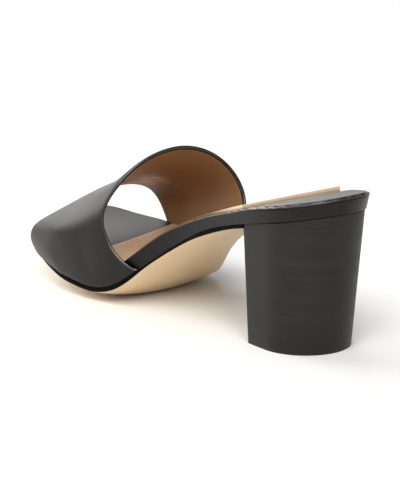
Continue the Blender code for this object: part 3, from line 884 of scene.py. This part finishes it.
def seat_pad():
    """The soft black pad on the heel seat, its edge tucked inside the rolled edge."""
    def part(inset, height):
        sides = []
        for side in SIGN:
            points = edge(side, -inset)
            sides.append(points[:np.searchsorted(points[:, 0], SEAT_FRONT)])
        rows = rows_between(*sides, PAD_GRID)
        return placed(rows, height(rows))

    levels = []
    for turn in np.linspace(0, math.pi / 2, PAD_EDGE_LEVELS):
        levels.append(part(
            PAD_INSET + PAD_EDGE * (1 - math.sin(turn)),
            lambda rows: pad_top(rows[..., 0], bulge(rows)) - PAD_EDGE * (1 - math.cos(turn))
            - PAD_SINK * (1 - seat(rows[..., 0], PAD_FADES))))
    levels.append(part(PAD_FOOT[0], lambda rows: footbed_top(rows[..., 0]) - PAD_FOOT[1]))
    # The seat pad's lighter black is painted highlight.
    piece = block("seat_pad", levels, ((BLACK_SEAT, len(levels) - 1),))
    return finished(piece, sharp=60)


def sock_lining():
    """The tan sock on the footbed and the backing under it, whose rear end curls up a little."""
    runs = np.linspace(0, 1, SOCK_GRID[0] + 1)
    sides = []
    for k, side in enumerate(("lateral", "medial")):
        along = (SOCK_REAR[k] + (SOCK_FRONT[k] - SOCK_REAR[k]) * runs) * MM
        sides.append(np.column_stack([along, edge_at(side, along, -SOCK_INSET)]))
    reach = np.linspace(0, 1, SOCK_GRID[1] + 1)[None, :, None]
    rows = sides[0][:, None] * (1 - reach) + sides[1][:, None] * reach
    bow = SOCK_REAR[2] * (1 - runs)**6 + SOCK_FRONT[2] * runs**6
    rows[..., 0] += bow[:, None] * MM * bulge(rows)
    curl = (1 - smooth(runs, 0, CURL_REACH))[:, None] * reach[..., 0]
    low = pad_top(rows[..., 0], bulge(rows)) + CLOSE - CURL_SINK * MM * curl
    swell = SOCK_SWELL * (1 - smooth(rows[..., 0], *SWELL_SPAN))
    thick = (SOCK_THIN + swell + SOCK_CURL * curl) * MM
    # The two layers' cut edges carry a pale painted highlight above and a darker painted shade below,
    # besides the leathers' own tones.
    seam = low + thick * SOCK_SEAM
    levels = [placed(rows, low + thick), placed(rows, seam)]
    piece = block("sock_lining", levels, ((TAN_SOCK, 0), (CUT_TAN_PAINTED_HIGHLIGHT, 1)))
    finished(piece, "sock", round_edges=0.12 * MM, segments=3)
    levels = [placed(rows, seam - SEAM_GAP), placed(rows, low)]
    piece = block("sock_backing", levels, ((RAW_TAN_PAINTED_SHADE, 1),))
    finished(piece, round_edges=0.1 * MM, segments=2)


def sole():
    """The thin leather sole, its edge painted black and set in under the shank."""
    breast = sum(HEEL_PLANS["seat"][i] for i in (0, 3)) * MM + CLOSE
    sides = []
    for side in SIGN:
        points = edge(side, sole_reach)
        ahead = points[points[:, 0] > breast]
        start = [[breast, np.interp(breast, points[:, 0], points[:, 1])]]
        sides.append(np.vstack([start, ahead]))
    rows = rows_between(*sides, SOLE_GRID)
    low = sole_bottom(rows)
    # The bottom edge is bevelled here, so that the paint of the side ends at the bevel.
    reach = np.linspace(-1, 1, rows.shape[1])[None, :]
    bottom = rows.copy()
    bottom[..., 1] += SOLE_BEVEL * np.sign(reach) * np.abs(reach)**3
    levels = [placed(rows, sole_top(rows)), placed(rows, low + SOLE_BEVEL), placed(bottom, low)]
    piece = block("sole", levels, ((EDGE_PAINT, 1.5), (SOLE_LEATHER, 2)))
    return finished(piece, "outsole", round_edges=0.15 * MM, segments=2, angle=30)


def heel_rows(plan):
    """Rows of (along, across) points over one plan of the heel, from its back to its breast."""
    centre, depth, half_width, run, half_breast = plan
    turns = round(HEEL_GRID[0] * ROUND_SHARE)
    rows = []
    for angle in np.linspace(0, math.pi / 2, turns + 1):
        rows.append((centre - depth * math.cos(angle), half_width * math.sin(angle)))
    for part in np.linspace(0, 1, HEEL_GRID[0] - turns + 1)[1:]:
        taper = half_width + (half_breast - half_width) * part**2
        rows.append((centre + run * part, taper))
    reach = np.linspace(1, -1, HEEL_GRID[1] + 1)
    return np.array([[(along, half * across) for across in reach] for along, half in rows]) * MM


def heel_level(height):
    """Rows of the heel at a height, between its plans at the floor and at the seat."""
    foot, head = heel_rows(HEEL_PLANS["floor"]), heel_rows(HEEL_PLANS["seat"])
    full = rise(head[..., 0]) + OUTSOLE
    return foot + (head - foot) * (height / full)[..., None]


def heel_block():
    """The stacked block under the seat."""
    head = heel_rows(HEEL_PLANS["seat"])
    full = rise(head[..., 0]) + OUTSOLE - sag(head[..., 0]) * bulge(head)
    top = placed(head, full - HEEL_TOP_GAP)
    low = TOP_PIECE + HEEL_FOOT_GAP
    bottom = placed(heel_level(low), low)
    levels = [top + (bottom - top) * share for share in np.linspace(0, 1, HEEL_LEVELS)]
    piece = block("heel_block", levels, ((STACK, len(levels) - 1),))
    return finished(piece, "heel", round_edges=0.35 * MM, segments=3)


def wearing_piece():
    """The black top piece that the heel walks on."""
    top = placed(heel_level(TOP_PIECE), TOP_PIECE)
    piece = block("wearing_piece", (top, placed(heel_level(0.0), 0.0)), ((TOP_RUBBER, 1),))
    return finished(piece, "top_piece", round_edges=0.45 * MM, segments=3)


# --- studio -------------------------------------------------------------------------------------

CAMERA_PLACE = (1.0883, 1.4425, 0.5033)
CAMERA_AIM = (0.0, 0.0, 0.0271)
LENS = 282.0
MIDDLE_OF_SHOE = Vector((0, 0, 0.03))
SOFTBOX_AWAY = 2.2
SOFTBOX_SIZE = 1.3
SOFTBOX_COLOUR = (1.0, 0.985, 0.955)
ROOM_LIGHT = 0.31
FLOOR_SIZE = 30
FLOOR_TONES = (0.83, 0.83, 0.83), (0.85, 0.85, 0.85)


def studio_floor():
    """A wide pale floor."""
    deselect()
    bpy.ops.mesh.primitive_plane_add(size=FLOOR_SIZE)
    floor = bpy.context.object
    floor.name = "floor"
    finish, tree, shader, place = blank("pale floor", 0.6, 0.2)
    tone = using(tree, MOTTLE, Place=place, Patches_per_metre=2.0, Contrast=0.5)
    tree.links.new(mixed(tree, tone.outputs["Tone"], *FLOOR_TONES), shader.inputs["Base Color"])
    floor.data.materials.append(finish)


def softbox(name, turned, raised, power):
    """A large square light aimed at the shoe, so many degrees round from the toe and above the floor."""
    turned, raised = math.radians(turned), math.radians(raised)
    reach = SOFTBOX_AWAY * math.cos(raised)
    place = Vector((reach * math.sin(turned), -reach * math.cos(turned),
                    SOFTBOX_AWAY * math.sin(raised)))
    light = bpy.data.lights.new(name, "AREA")
    light.shape = "SQUARE"
    light.size = SOFTBOX_SIZE
    light.energy = power
    light.color = SOFTBOX_COLOUR
    lamp = bpy.data.objects.new(name, light)
    bpy.context.scene.collection.objects.link(lamp)
    lamp.location = place
    lamp.rotation_euler = (MIDDLE_OF_SHOE - place).to_track_quat("-Z", "Y").to_euler()


def surroundings():
    """An even white room."""
    world = bpy.data.worlds.new("studio")
    bpy.context.scene.world = world
    world.use_nodes = True
    background = world.node_tree.nodes["Background"]
    background.inputs["Color"].default_value = (1.0, 1.0, 1.0, 1)
    background.inputs["Strength"].default_value = ROOM_LIGHT


def camera():
    """A long lens behind the outer side of the shoe, a little above it."""
    lens = bpy.data.cameras.new("camera")
    lens.lens = LENS
    lens.clip_start, lens.clip_end = 0.1, 60
    eye = bpy.data.objects.new("camera", lens)
    bpy.context.scene.collection.objects.link(eye)
    eye.location = CAMERA_PLACE
    eye.rotation_euler = (Vector(CAMERA_AIM) - eye.location).to_track_quat("-Z", "Y").to_euler()
    bpy.context.scene.camera = eye


vamp()
vamp_lining()
platform()
seat_pad()
sock_lining()
sole()
heel_block()
wearing_piece()
studio_floor()
surroundings()
softbox("beyond the toe", turned=20, raised=28, power=31)
softbox("beyond the arch", turned=-18, raised=27, power=18)
softbox("beside the arch", turned=102, raised=30, power=7.5)
softbox("over the camera", turned=142, raised=50, power=43)
camera()
bpy.context.scene.view_settings.view_transform = "Standard"
